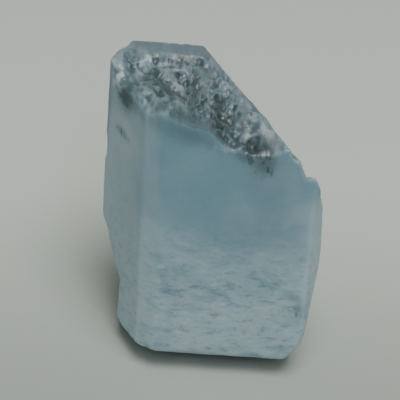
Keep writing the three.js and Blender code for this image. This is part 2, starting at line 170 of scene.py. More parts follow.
PALE_PATCHES = [
    ((-16.8, 0.4, 47.0), (2.0, 5, 3.4), 1.1),  # left corner
    ((-15.6, -1.5, 41.8), (1.4, 2, 1.4), 0.7),
    ((3.4, -3.1, 45.4), (2.0, 2.2, 2), 0.4),  # knobs
    ((5.1, -4.8, 44.1), (2.0, 2.2, 2), 0.5),
    ((9.4, -7.2, 43.0), (1.6, 1.8, 1.4), 0.5),
    ((5.6, -6.4, 43.4), (4.0, 1.6, 1.4), 0.5),
    # Painted light: the narrow right face is made paler where light falls on it.
    ((17.6, -8.6, 18), (1.2, 6, 18), 0.6),  # narrow right face
    ((-12, 5, 47.6), (4, 2, 2), 0.8),  # streaks in front of the terrace
    ((-7.0, 0.0, 46.0), (2.0, 3.0, 2), 1.1),
]

# Where the sealed grains lie: middle and radii in millimetres, with z from the lower rim, and a share of all.
VEILS = [
    ((9, -10, 21), (8, 3, 1.0), 0.2),
    ((12, -10, 17), (6, 3, 1.2), 0.15),
    ((3, -10, 14), (10, 3, 1.0), 0.15),
    ((-2, -10, 9), (9, 3, 1.4), 0.12),
    ((9, -10, 6), (9, 3, 1.4), 0.12),
    ((-1, -10, 25), (3, 3, 2.0), 0.06),
    ((14.5, -10, 27), (2, 3, 4.0), 0.08),
    ((0, -10, 2.5), (16, 3, 1.5), 0.12),
]
# The dark flakes paint shade: they lie where cracks look dark below the ledge, under the break and in the pit
# near the left corner.
FLAKES = [
    ((7.6, -10, 38.8), (2.6, 2, 3.4), 0.18),
    ((4.6, -9.6, 41.0), (2.4, 2, 2.2), 0.14),
    ((0.8, -6, 43.4), (2.4, 6, 3.0), 0.18),
    ((-6, -3, 46), (9, 5, 3), 0.22),
    ((-15.3, -2.2, 45.0), (2.4, 3.6, 3.0), 0.14),
    ((9, -10, 19), (6, 2, 2.4), 0.08),
    ((15.4, -10, 11), (1.6, 2, 4), 0.06),
]
TUBES = [
    ((-16, -2, 20), (3, 8, 30), 0.5),
    ((-4, -10, 30), (14, 2, 20), 0.3),
    ((15, -10, 20), (5, 3, 20), 0.2),
]

# The sealed grains, in millimetres: depth below the surface, least and greatest sizes, and the most tilt in
# radians.
COVER = 0.04 * MM  # least depth of a grain's ends
VEIL_SEED, VEIL_DEPTH = 11, (0.12, 0.9)
DROP_LONGEST, DROP_WIDEST = 3, 2  # in smallest widths
DROP_THICKNESS, DROP_TILT = (0.08, 0.16), 0.2
FLAKE_SEED, FLAKE_DEPTH = 12, (0.3, 1.4)
FLAKE_SIZES, FLAKE_TILT = ((0.3, 0.9), (0.12, 0.3), (0.3, 0.8)), 1.2
TUBE_SEED, TUBE_DEPTH = 13, (0.3, 1.6)
TUBE_SIZES, TUBE_TILT = ((0.05, 0.1), (0.05, 0.1), (1.0, 6.0)), 0.02

# The stone's patterns: size of a feature in millimetres, detail, stretch along each axis, and distortion.
PATTERNS = {
    "clouds": (9, 3.0, (1, 1, 1), 0.0),  # drifts of haze
    "cracks": (4.0, 5.0, (0.8, 0.8, 1.6), 0.6),  # flat healed cracks
    "mottles": (1.5, 6.0, (0.7, 0.7, 1.4), 0.3),  # uneven haze
    "ticks": (0.7, 4.0, (0.7, 0.7, 1.6), 0.4),  # short cracks that lie across the stone
    "grains": (1.1, 4.0, (1, 1, 0.7), 0.0),  # frosted grains
    "specks": (0.7, 2.0, (1, 1, 1), 0.0),  # knots of drops, as single drops are too fine to show
    "streaks": (0.9, 2.0, (1, 0.2, 0.2), 0.0),  # splinters that run down and back across the break
    "crumbs": (0.5, 2.0, (1, 0.45, 0.45), 0.0),  # crushed grains
}
PATTERN_ROUGHNESS = 0.55
PATTERN_SPAN = (0.3, 0.7)  # nearly all of a pattern's values lie between these

# Painted light and shade on the break: crests get the lighter colour and hollows the darker one, mixed with
# the tone of crushed grains.
CRUSHED_PALE_AND_LIT, CRUSHED_DARK_AND_SHADED = linear("#96a9b0"), linear("#536b72")  # crests and hollows of the break

# Shares in the beryl's material. A span is which values of a pattern or zone count, and the other pairs are
# the share at its start and at its end.
CLOUD_SWING = (-0.22, 0.22)
CRACK_SWING = (-0.25, 0.25)
MOTTLE_SWING = (-0.12, 0.15)
FILM_WIDTH, FILM_MILK = 0.03, 0.3  # a crack shows as a thin milky film
RUBBLE_SWING = (-0.5, 0.5)
STREAK_SWING = (-0.12, 0.32)
# Painted shade: how much the hollows of the break are darkened.
HOLLOW_PAINTED_SHADE = 0.6
# Smooth ground gets less of the painted crest light and hollow shade, and an even middle tone instead.
SMOOTH_CALM, SMOOTH_SHADE = (1.0, 0.15), (0.0, 0.5)  # smooth ground is less uneven, and evenly shaded instead
# Painted shade: the rim where the break fades into a prism face is darkened, which dulls its highlight.
FADING_PAINTED_SHADE = 0.4
SHADE_SPAN = (0.1, 0.9)
BREAK_COVER = (0.6, 0.9)  # beside the break and on it
FLECK_SPAN, FLECK_COVER = (1.0, 1.34), (0.0, 0.38)
WHITE_SPAN, WHITE_COVER = (0.90, 0.66), (0.0, 0.75)
FROST_SPAN = (-0.1, 0.6)
SPECK_SPAN = (0.68, 0.76)
DARK_GRAIN, DARK_SPAN, DARK_COVER = (0.0, 0.85), (0.0, 0.6), (0.0, 0.85)
# Painted shade: how much the dark patches darken the ground softly, beside their grains.
PAINTED_SHADE_GROUND = (0.0, 0.6)
POLISH = (0.58, 0.34)  # roughness of etched or smooth ground, and of a fresh rough break
FADING_ROUGHNESS = 0.45
SPECK_ROUGHNESS = (-0.06, 0.06)
OPENNESS = (0.22, 0.42)  # see-through share of milky and of clear stone
DARK_OPENNESS = 0.2
BERYL_IOR = 1.577
SEALED_IOR = 1.33  # water's: the drops and tubes hold it, and in the stone a flake shines no more than that
MOTTLE_SPAN = (0.35, 0.65)  # a sealed piece's two colours meet softly between these values of its noise
SCATTER_REACH, SCATTER_RADIUS = 3 * MM, (0.6, 1.0, 1.2)  # blue light goes furthest in the haze
ETCH_STRENGTH, ETCH_DEPTH = 0.3, 0.02 * MM
SOFT_STEP = {"interpolation_type": "SMOOTHSTEP"}  # the setting of a Map Range node with soft ends
MIX_A, MIX_B, MIX_COLOUR = 6, 7, 2  # a Mix node's sockets for colours, and the one that it gives

# The stage. Places are in metres.
FLOOR_RADIUS, FLOOR_SIDES, FLOOR_ROUGHNESS = 2.0, 96, 0.9  # radius in metres
# Painted shade: the floor's colour is darker in front of the crystal than behind it.
FLOOR_SPAN = (-30 * MM, 60 * MM)  # the floor is dimmer in front of the crystal than behind it
FLOOR_PAINTED_SHADE = (0.60, 0.98)
LIGHT_AIM = Vector((0, 0, 0.02))
WINDOW_PLACE, WINDOW_SIZE = Vector((0.103, -0.360, 0.927)), 0.5
FRONT_PLACE, FRONT_SIZE = Vector((0.098, -0.70, 0.707)), 0.4
CAMERA_AIM = Vector((-2.048, -2.5, 26.03 + RIM_LEVEL)) * MM
LENS, SENSOR = 180, 36  # focal length and width in millimetres
NEAREST = 10 * MM  # the camera sees nothing nearer than this


# ---------------------------------------------------------------- what a user would change


class CrystalSettings(bpy.types.PropertyGroup):
    """Sizes and colours of the crystal, and how much is sealed in it."""

    mesh_spacing: FloatProperty(
        name="Mesh spacing",
        description="Distance between points on the prism faces; half of it on the top break",
        default=0.34 * MM, min=0.2 * MM, max=1 * MM, unit="LENGTH")
    striation_spacing: FloatProperty(
        name="Striation spacing", description="Distance between growth lines on the prism faces",
        default=0.9 * MM, min=0.2 * MM, max=5 * MM, unit="LENGTH")
    striation_depth: FloatProperty(
        name="Striation depth", description="Depth of the growth lines",
        default=0.05 * MM, min=0, max=0.3 * MM, unit="LENGTH")
    facet_size: FloatProperty(
        name="Facet size", description="Width of the flutes and crumbs on the broken surfaces",
        default=0.8 * MM, min=0.3 * MM, max=4 * MM, unit="LENGTH")
    facet_depth: FloatProperty(
        name="Facet depth", description="How deep the flutes and crumbs of a break are cut",
        default=0.17 * MM, min=0, max=1 * MM, unit="LENGTH")
    rim_wear: FloatProperty(
        name="Rim wear", description="How far the rims between prism faces and breaks are chipped back",
        default=0.1 * MM, min=0, max=1 * MM, unit="LENGTH")
    veil_drops: IntProperty(
        name="Drops", description="Number of flat drops in the healed veils", default=700, min=0, max=3000)
    drop_size: FloatProperty(
        name="Drop size", description="Smallest width of a drop in a veil",
        default=0.2 * MM, min=0.05 * MM, max=1 * MM, unit="LENGTH")
    flakes: IntProperty(
        name="Flakes", description="Number of dark flakes, most of them near the top",
        default=420, min=0, max=2000)
    tubes: IntProperty(
        name="Tubes", description="Number of fine growth tubes", default=160, min=0, max=1000)
    absorption_colour: FloatVectorProperty(
        name="Absorption colour", description="Colour that white light takes on inside the stone",
        subtype="COLOR", size=3, min=0, max=1, default=linear("#5cb9cf"))
    absorption_density: FloatProperty(
        name="Absorption", description="How strongly the stone colours the light, per metre",
        default=30, min=0, max=500)
    deep_colour: FloatVectorProperty(
        name="Clear colour", description="Colour of the body where it holds little haze",
        subtype="COLOR", size=3, min=0, max=1, default=linear("#8ab1c1"))
    milk_colour: FloatVectorProperty(
        name="Milk colour", description="Colour of the body where the haze of fluid drops is thick",
        subtype="COLOR", size=3, min=0, max=1, default=linear("#b1c9d3"))
    pale_colour: FloatVectorProperty(
        name="Pale colour", description="Colour of crushed and frosted places",
        subtype="COLOR", size=3, min=0, max=1, default=linear("#c9d6d8"))
    # Painted shade: this colour darkens the stone below the ledge, in the pits of the break and on sides
    # turned from the light; it also colours the dark flecks low down.
    dark_colour: FloatVectorProperty(
        name="Dark colour", description="Colour of the dark grains below the break",
        subtype="COLOR", size=3, min=0, max=1, default=linear("#4a6061"))


class StageSettings(bpy.types.PropertyGroup):
    """The floor, the light and the camera."""

    floor_colour: FloatVectorProperty(
        name="Floor colour", description="Colour of the plain floor",
        subtype="COLOR", size=3, min=0, max=1, default=linear("#c4ccc4"))
    key_power: FloatProperty(
        name="Window light", description="Power of the soft light, high in front",
        default=9.0, min=0, max=100, subtype="POWER")
    fill_strength: FloatProperty(
        name="Fill light", description="Strength of the even light from all round",
        default=0.26, min=0, max=10)
    front_power: FloatProperty(
        name="Front light", description="Power of the broad soft light from the front",
        default=2.4, min=0, max=100, subtype="POWER")
    camera_elevation: FloatProperty(
        name="Camera elevation", description="Height angle of the camera above the horizon",
        default=math.radians(34), min=0, max=math.pi / 2, subtype="ANGLE")
    camera_roll: FloatProperty(
        name="Camera roll", description="Turn of the camera about its own line of sight",
        default=math.radians(3.77), min=-math.pi, max=math.pi, subtype="ANGLE")
    camera_distance: FloatProperty(
        name="Camera distance", description="Distance from the camera to what it looks at",
        default=333.3 * MM, min=0.05, max=5, unit="LENGTH")


# ---------------------------------------------------------------- helpers


def settings():
    """What a user chose for the crystal."""
    return bpy.context.scene.aquamarine_crystal


def stage_settings():
    """What a user chose for the stage."""
    return bpy.context.scene.aquamarine_stage


def linked(name, data):
    """A new object in the scene, for a mesh, a light or a camera."""
    made = bpy.data.objects.new(name, data)
    bpy.context.scene.collection.objects.link(made)
    return made


def new_material(name):
    """A material without nodes."""
    material = bpy.data.materials.new(name)
    material.use_nodes = True
    material.node_tree.nodes.clear()
    return material


def add(material, kind, inputs=(), output=0, **values):
    """Adds a node with its settings, and gives back one of its outputs.

    The inputs are values or the outputs of other nodes, by name or in the node's own order.
    """
    node = material.node_tree.nodes.new("ShaderNode" + kind)
    for name, value in values.items():
        setattr(node, name, value)
    named = inputs if isinstance(inputs, dict) else dict(enumerate(inputs))
    for name, value in named.items():
        if isinstance(value, bpy.types.NodeSocket):
            material.node_tree.links.new(value, node.inputs[name])
        else:
            node.inputs[name].default_value = value
    return node.outputs[output] if node.outputs else None


# ---------------------------------------------------------------- the crystal's mesh


def merged_solid(node):
    """The CAD solid with its doubled points merged."""
    merged = bmesh.new()
    merged.from_mesh(node.data)
    bmesh.ops.remove_doubles(merged, verts=merged.verts, dist=MERGE)
    return merged


def even_copy(node, spacing):
    """The CAD solid again, as an even mesh that is fine enough for relief."""
    merged = merged_solid(node)
    mesh = bpy.data.meshes.new("crystal_surface")
    merged.to_mesh(mesh)
    merged.free()
    rough = linked("even_copy", mesh)
    remesh = rough.modifiers.new("Even mesh", "REMESH")
    remesh.mode = "VOXEL"
    remesh.voxel_size = spacing
    evaluated = rough.evaluated_get(bpy.context.evaluated_depsgraph_get())
    fine = bpy.data.meshes.new_from_object(evaluated)
    bpy.data.objects.remove(rough)
    return fine


def break_trees(node):
    """Two search trees: the natural prism faces, and the broken surfaces."""
    trees = []
    for natural in (True, False):
        part = merged_solid(node)
        other = [face for face in part.faces if (abs(face.normal.z) < UPRIGHT) != natural]
        bmesh.ops.delete(part, geom=other, context="FACES")
        trees.append(BVHTree.FromBMesh(part))
        part.free()
    return trees


def distances(trees, points):
    """How far each point is from the natural prism faces, and from the broken surfaces."""
    return np.array([[tree.find_nearest(point)[3] for tree in trees] for point in points])


def refine_rough_ground(surface, trees):
    """Halves the spacing of the points on the top break and near its rim."""
    chosen = []
    for face in surface.faces:
        middle = face.calc_center_median()
        natural, broken = (tree.find_nearest(middle)[3] for tree in trees)
        high = middle.z > CRYSTAL_TOP - TOP_ZONE and broken < RIM_ZONE
        slanting = abs(face.normal.x) > SLANT_ACROSS and face.normal.z > SLANT_UP and broken < natural
        if high and not slanting:
            chosen.append(face)
    edges = {edge for face in chosen for edge in face.edges}
    bmesh.ops.subdivide_edges(surface, edges=list(edges), cuts=1, use_grid_fill=True)
    bmesh.ops.triangulate(surface, faces=[face for face in surface.faces if len(face.verts) > 4])


def facets(places, size, seed):
    """Angular facets from 0 to 1: each point lies on the tilted plane of its nearest scattered cell."""
    table = np.random.default_rng(seed).random((CELLS, CELLS, CELLS, CELL_VALUES))
    scaled = places / size
    cell = np.floor(scaled).astype(int)
    nearest = np.full(len(places), np.inf)
    height = np.zeros(len(places))
    for step in np.ndindex(3, 3, 3):
        other = cell + np.array(step) - 1
        values = table[tuple((other % CELLS).T)]
        offset = scaled - other - values[:, :3]
        distance = (offset ** 2).sum(axis=1)
        plane = values[:, 3] + ((values[:, 4:] - 0.5) * 2 * offset).sum(axis=1)
        closer = distance < nearest
        nearest = np.where(closer, distance, nearest)
        height = np.where(closer, plane, height)
    return np.clip(height * FACET_SCALE + FACET_LIFT, 0, 1)


def soft_noise(places, size, seed):
    """Soft noise from about -1 to 1 with features of a size, in metres."""
    shift = Vector([seed * step for step in NOISE_STEPS])
    return np.array([noise.noise(Vector(place) / size + shift) for place in places])


def smooth_step(values, low, high):
    """0 up to low, 1 from high, and a soft step between them."""
    share = np.clip((values - low) / (high - low), 0, 1)
    return share * share * (3 - 2 * share)


def patch(places, middle, radii):
    """1 in the middle of a patch of the stone, falling softly to a seventh at its radii and to 0 beyond."""
    reach = ((places / MM - np.array(middle) - (0, 0, RIM_LEVEL)) / np.array(radii)) ** 2
    return np.exp(-2 * reach.sum(axis=1))


def patches(places, listed, most=1):
    """The listed patches together, with their strengths."""
    strengths = sum(patch(places, middle, radii) * strength for middle, radii, strength in listed)
    return np.clip(strengths, 0, most)


def hollows(mesh, passes):
    """How far each point lies below the ground around it, in metres: under 0 on a crest."""
    count = len(mesh.vertices)
    places = np.empty(count * 3)
    mesh.vertices.foreach_get("co", places)
    normals = np.empty(count * 3)
    mesh.vertices.foreach_get("normal", normals)
    ends = np.empty(len(mesh.edges) * 2, dtype=int)
    mesh.edges.foreach_get("vertices", ends)
    places, normals = places.reshape(-1, 3), normals.reshape(-1, 3)
    first, second = ends.reshape(-1, 2).T
    from_end, to_end = np.concatenate((first, second)), np.concatenate((second, first))
    neighbours = np.bincount(to_end, minlength=count)
    around = places.copy()
    for _ in range(passes):
        sums = [np.bincount(to_end, weights=around[from_end, axis], minlength=count) for axis in range(3)]
        around = np.array(sums).T / neighbours[:, None]
    return ((around - places) * normals).sum(axis=1)


def relief(places, gap):
    """Depth of the fine relief at each point, in metres, always inwards."""
    chosen = settings()
    natural, broken = gap.T
    on_break = smooth_step(natural - broken, *RELIEF_EDGE)
    top = smooth_step(places[:, 2], *TOP_SPAN)
    calm = patches(places, SMOOTH_PATCHES)
    rough = on_break * (FOOT_RELIEF + (1 - FOOT_RELIEF) * top) * (1 - calm)
    flutes, crumbs = (
        share * np.abs(soft_noise(places * np.array(stretch), chosen.facet_size * size, seed))
        for stretch, size, seed, share in (FLUTES, CRUMBS))
    depth = chosen.facet_depth * rough * (flutes + crumbs * patches(places, GRANULAR_PATCHES))
    growth = 0.5 + 0.5 * soft_noise(places * np.array(GROWTH_STRETCH), chosen.striation_spacing, GROWTH_SEED)
    depth += chosen.striation_depth * (1 - on_break) * growth
    rim = np.exp(-np.maximum(natural, broken) / RIM_REACH)
    low = 1 - smooth_step(places[:, 2], *WORN_SPAN)
    chips = np.prod([facets(places, size, seed) for size, seed in CHIPS], axis=0)
    depth += chosen.rim_wear * rim * low * (EVEN_WEAR + CHIPPED_WEAR * chips)
    return depth


def soften_rims(surface, trees):
    """Rounds the worn low rims, and the rims where the top break fades into a prism face."""
    fading = patches(np.array([vertex.co for vertex in surface.verts]), FADING_PATCHES)
    rims = [
        vertex for vertex, fades in zip(surface.verts, fading)
        if (vertex.co.z < LOW_RIMS or fades > FADING)
        and max(tree.find_nearest(vertex.co)[3] for tree in trees) < RIM_SOFTNESS * (1 + fades)]
    fading_rims = [vertex for vertex in rims if vertex.co.z > LOW_RIMS]
    for passes, verts in ((RIM_PASSES, rims), (FADING_PASSES, fading_rims)):
        for _ in range(passes):
            bmesh.ops.smooth_vert(
                surface, verts=verts, factor=SMOOTHING, use_axis_x=True, use_axis_y=True, use_axis_z=True)
    surface.normal_update()


def shape_crystal():
    """The finished crystal: the CAD solid as an even mesh, with soft rims, fine relief and its zones."""
    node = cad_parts[NODE]
    trees = break_trees(node)
    surface = bmesh.new()
    surface.from_mesh(even_copy(node, settings().mesh_spacing))
    refine_rough_ground(surface, trees)
    soften_rims(surface, trees)
    places = np.array([vertex.co for vertex in surface.verts])
    normals = np.array([vertex.normal for vertex in surface.verts])
    gap = distances(trees, [vertex.co.copy() for vertex in surface.verts])
    shaped = places - normals * relief(places, gap)[:, None]
    for vertex, place in zip(surface.verts, shaped):
        vertex.co = place
    mesh = bpy.data.meshes.new(CRYSTAL)
    surface.to_mesh(mesh)
    surface.free()
    add_zones(mesh, shaped, gap)
    return linked(CRYSTAL, mesh)


def add_zones(mesh, places, gap):
    """Stores, for each point, what the material reads: where it is broken, clear, pale or wispy, and where
    shade is painted, in its dark patches and hollows.
    """
    natural, broken = gap.T
    height = places[:, 2]
    on_break = smooth_step(natural - broken, *ZONE_EDGE)
    top = smooth_step(height, *TOP_SPAN)
    fading = patches(places, FADING_PATCHES)
    reach = BREAK_REACH + FADING_REACH * fading
    left_side = smooth_step(-places[:, 0], LEFT_EDGE - LEFT_SOFTNESS, LEFT_EDGE + LEFT_SOFTNESS)
    rise = smooth_step(height, *CLEAR_SPAN) * CLEAR_RISE
    clear = CLEAR_FOOT - CLEAR_LEFT * left_side + rise + patches(places, CLEAR_PATCHES)
    sunk = hollows(mesh, HOLLOW_PASSES) / HOLLOW_DEPTH
    zones = {
        "broken": on_break,
        "near_break": np.exp(-(broken / reach) ** 2) * top,
        "clear": np.clip(clear - patches(places, MILKY_AND_LIT_PATCHES), 0, 1),
        # Strength of the painted shade and dark reflection patches.
        "dark": patches(places, PAINTED_SHADE_PATCHES, MOST),
        "pale": patches(places, PALE_PATCHES, MOST),
        # Where shade is painted into hollows and light onto crests.
        "hollow": np.clip(LEVEL + (1 - fading) * sunk + FADING_HOLLOW * fading, 0, 1),
        "fading": fading * top,
        "smooth": patches(places, SMOOTH_PATCHES),
        "granular": patches(places, GRANULAR_PATCHES),
        "wisps": np.clip(1 - smooth_step(height, *WISP_SPAN) + WISP_REST, 0, 1),
    }
    for name, values in zones.items():
        mesh.attributes.new(name, "FLOAT", "POINT").data.foreach_set("value", values)
    rough = zones["granular"] * on_break * (1 - zones["smooth"]) * (1 - zones["fading"])
    smooth = [rough[face.vertices[0]] <= CRUSHED for face in mesh.polygons]
    mesh.polygons.foreach_set("use_smooth", smooth)


# ---------------------------------------------------------------- the crystal's material


def stone_patterns(material, mesh):
    """The stone's noise patterns, and the zones stored on its mesh, by name."""
    place = add(material, "TexCoord", output="Object")
    stone = {}
    for name, (size, detail, stretch, distortion) in PATTERNS.items():
        mapped = add(material, "Mapping", {"Vector": place, "Scale": stretch})
        stone[name] = add(
            material, "TexNoise",
            {"Vector": mapped, "Scale": 1 / (size * MM), "Detail": detail, "Roughness": PATTERN_ROUGHNESS,
             "Distortion": distortion}, output="Fac")
    for zone in mesh.attributes:
        if zone.domain == "POINT" and zone.data_type == "FLOAT":
            stone[zone.name] = add(material, "Attribute", output="Fac", attribute_name=zone.name)
    return stone


def clearness(material, stone):
    """How clear the stone is: large soft drifts, and flat wisps of healed cracks low in the crystal."""
    cracks = add(material, "MapRange", (stone["cracks"], *PATTERN_SPAN, *CRACK_SWING), **SOFT_STEP)
    mottles = add(material, "MapRange", (stone["mottles"], *PATTERN_SPAN, *MOTTLE_SWING), **SOFT_STEP)
    flecks = add(material, "Math", (cracks, mottles), operation="ADD")
    level = add(material, "Math", (stone["cracks"], 0.5), operation="SUBTRACT")
    apart = add(material, "Math", (level,), operation="ABSOLUTE")
    films = add(material, "MapRange", (apart, 0.0, FILM_WIDTH, FILM_MILK, 0.0), **SOFT_STEP)
    wispy = add(material, "Math", (flecks, films), operation="SUBTRACT")
    clouds = add(material, "MapRange", (stone["clouds"], *PATTERN_SPAN, *CLOUD_SWING), **SOFT_STEP)
    drifts = add(material, "Math", (stone["clear"], clouds), operation="ADD")
    return add(material, "Math", (wispy, stone["wisps"], drifts), operation="MULTIPLY_ADD", use_clamp=True)


def break_tone_and_painted_shade(material, stone):
    """How dark the broken ground is: painted shade in its hollows and light on its crests, the tone of
    crushed grains and splinters, less on the smooth ground, and more painted shade where it fades.
    """
    crumbs = add(material, "MapRange", (stone["crumbs"], *PATTERN_SPAN, *RUBBLE_SWING), **SOFT_STEP)
    rubble = add(material, "Math", (crumbs, stone["granular"]), operation="MULTIPLY")
    sunk = add(material, "Math", (stone["hollow"], HOLLOW_PAINTED_SHADE, rubble), operation="MULTIPLY_ADD")
    streaks = add(material, "MapRange", (stone["streaks"], *PATTERN_SPAN, *STREAK_SWING), **SOFT_STEP)
    uneven = add(material, "Math", (sunk, streaks), operation="ADD")
    calm = add(material, "MapRange", (stone["smooth"], 0, 1, *SMOOTH_CALM), **SOFT_STEP)
    even = add(material, "MapRange", (stone["smooth"], 0, 1, *SMOOTH_SHADE), **SOFT_STEP)
    shade = add(material, "Math", (uneven, calm, even), operation="MULTIPLY_ADD")
    shade = add(material, "Math", (stone["fading"], FADING_PAINTED_SHADE, shade), operation="MULTIPLY_ADD")
    return add(material, "MapRange", (shade, *SHADE_SPAN, 0, 1), **SOFT_STEP)


def break_cover(material, stone):
    """How much of the break's own colour shows: most on the break, and less on its rim."""
    whole = add(material, "MapRange", (stone["broken"], 0, 1, *BREAK_COVER), **SOFT_STEP)
    near = add(material, "Math", (stone["near_break"], whole), operation="MULTIPLY")
    return add(material, "MapRange", (near, 0, 1, 0, 1), **SOFT_STEP)


def low_flecks(material, stone):
    """Small shaded flecks, and white ones, that lie across the stone low down."""
    both = add(material, "Math", (stone["mottles"], stone["ticks"]), operation="ADD")
    covers = []
    for span, cover in ((FLECK_SPAN, FLECK_COVER), (WHITE_SPAN, WHITE_COVER)):
        fleck = add(material, "MapRange", (both, *span, *cover), **SOFT_STEP)
        covers.append(add(material, "Math", (fleck, stone["wisps"]), operation="MULTIPLY"))
    return covers


def frost(material, stone):
    """Frosted and crushed places, and small pale specks low down."""
    grains = add(material, "MapRange", (stone["grains"], *PATTERN_SPAN, 0, 1), **SOFT_STEP)
    pale = add(material, "Math", (stone["pale"], grains), operation="SUBTRACT")
    pale = add(material, "MapRange", (pale, *FROST_SPAN, 0, 1), **SOFT_STEP)
    specks = add(material, "MapRange", (stone["specks"], *SPECK_SPAN, 0, 1), **SOFT_STEP)
    specks = add(material, "Math", (specks, stone["wisps"]), operation="MULTIPLY")
    return add(material, "Math", (pale, specks), operation="MAXIMUM")


def painted_shade_with_grain(material, stone):
    """Painted shade and dark reflection below the ledge, in the deep pits of the break and on sides turned
    from the light: dark grains on ground that is softly painted darker.
    """
    grains = add(material, "MapRange", (stone["crumbs"], *PATTERN_SPAN, *DARK_GRAIN), **SOFT_STEP)
    grains = add(material, "Math", (stone["dark"], grains), operation="SUBTRACT")
    grains = add(material, "MapRange", (grains, *DARK_SPAN, *DARK_COVER), **SOFT_STEP)
    ground = add(material, "MapRange", (stone["dark"], 0, 1, *PAINTED_SHADE_GROUND), **SOFT_STEP)
    return add(material, "Math", (grains, ground), operation="MAXIMUM")


def beryl_roughness(material, stone):
    """Etched prism faces are dull, fresh breaks are glassy, and specks vary both."""
    fresh = add(material, "Math", (stone["broken"], stone["smooth"]), operation="SUBTRACT")
    polish = add(material, "MapRange", (fresh, 0, 1, *POLISH), **SOFT_STEP)
    polish = add(material, "Math", (stone["fading"], FADING_ROUGHNESS, polish), operation="MULTIPLY_ADD")
    specks = add(material, "MapRange", (stone["specks"], *PATTERN_SPAN, *SPECK_ROUGHNESS), **SOFT_STEP)
    return add(material, "Math", (polish, specks), operation="ADD")


def beryl_material(mesh):
    """Aquamarine, a beryl: pale blue glass, grown slowly from hot fluid and full of tiny drops of it.

    The drops scatter light below the surface, so the stone looks milky, and bluer where there are fewer.
    Its prism faces are etched and dull. Its fresh breaks shine, and look whiter, as all their small facets
    scatter light; shade is painted into the hollows between them, and light onto their crests.
    """
    chosen = settings()
    material = new_material("aquamarine_etched_and_broken")
    stone = stone_patterns(material, mesh)
    milk, deep, pale, dark, crest, hollow = (
        (*colour, 1) for colour in (
            chosen.milk_colour, chosen.deep_colour, chosen.pale_colour, chosen.dark_colour,
            CRUSHED_PALE_AND_LIT, CRUSHED_DARK_AND_SHADED))
    clear = clearness(material, stone)
    shade = break_tone_and_painted_shade(material, stone)
    crushed = add(
        material, "Mix", {"Factor": shade, MIX_A: crest, MIX_B: hollow}, MIX_COLOUR, data_type="RGBA")
    shaded_flecks, white_flecks = low_flecks(material, stone)
    painted_shade_cover = painted_shade_with_grain(material, stone)
    layers = (
        (clear, deep),
        # The break's colour, with painted shade in its hollows and painted light on its crests.
        (break_cover(material, stone), crushed),
        (shaded_flecks, dark),
        (white_flecks, pale),
        (frost(material, stone), pale),
        # Painted shade and dark reflection from the dark patches.
        (painted_shade_cover, dark),
    )
    body = milk
    for cover, colour in layers:
        body = add(
            material, "Mix", {"Factor": cover, MIX_A: body, MIX_B: colour}, MIX_COLOUR, data_type="RGBA")

    openness = add(material, "MapRange", (clear, 0, 1, *OPENNESS), **SOFT_STEP)
    openness = add(material, "Math", (painted_shade_cover, DARK_OPENNESS, openness), operation="MULTIPLY_ADD")
    etch = add(
        material, "Bump", {"Height": stone["specks"], "Strength": ETCH_STRENGTH, "Distance": ETCH_DEPTH})
    surface = add(material, "BsdfPrincipled", {
        "Base Color": body,
        "Roughness": beryl_roughness(material, stone),
        "Normal": etch,
        "IOR": BERYL_IOR,
        "Transmission Weight": openness,
        "Subsurface Weight": 1.0,
        "Subsurface Radius": SCATTER_RADIUS,
        "Subsurface Scale": SCATTER_REACH,
    })
    water = add(material, "VolumeAbsorption",
                {"Color": (*chosen.absorption_colour, 1), "Density": chosen.absorption_density})
    add(material, "OutputMaterial", {"Surface": surface, "Volume": water})
    return material


# ---------------------------------------------------------------- what is sealed in it


def scattered(rng, count, listed, depth):
    """Random places at some depth below the surface of the solid, shared out among the listed places."""
    merged = merged_solid(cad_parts[NODE])
    solid = BVHTree.FromBMesh(merged)
    merged.free()
    found = []
    for middle, radii, share in listed:
        for _ in range(round(count * share)):
            near = [rng.gauss(centre, radius / 2) * MM for centre, radius in zip(middle, radii)]
            place, normal, _, _ = solid.find_nearest(Vector(near) + Vector((0, 0, RIM_LEVEL * MM)))
            found.append(place - normal * rng.uniform(*depth) * MM)
    return found


def inside(tree, point):
    """Whether a point is well inside the crystal."""
    nearest, normal, _, distance = tree.find_nearest(point)
    return distance > COVER and (point - nearest).dot(normal) < 0


def add_grains(name, places, sizes, rng, tilt):
    """Small closed grains joined into one piece. A grain that would reach out of the crystal is left out."""
    crystal = bmesh.new()
    crystal.from_mesh(bpy.data.objects[CRYSTAL].data)
    tree = BVHTree.FromBMesh(crystal)
    crystal.free()
    grains = bmesh.new()
    for place in places:
        size = Vector([rng.uniform(low, high) * MM for low, high in sizes])
        turn = Matrix.Rotation(rng.uniform(0, math.tau), 4, "Z")
        turn = Matrix.Rotation(rng.uniform(-tilt, tilt), 4, "X") @ turn
        where = Matrix.Translation(place) @ turn @ Matrix.Diagonal((*size, 1))
        ends = [where @ (Vector(axis) * side) for axis in Matrix.Identity(3) for side in (0.5, -0.5)]
        if all(inside(tree, end) for end in ends):
            bmesh.ops.create_icosphere(grains, subdivisions=1, radius=0.5, matrix=where)
    mesh = bpy.data.meshes.new(name)
    grains.to_mesh(mesh)
    grains.free()
    return linked(name, mesh)


def finish_sealed(piece, material):
    """Gives a sealed piece its material and its place in the frame."""
    piece.data.materials.append(material)
    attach(piece, BODY)


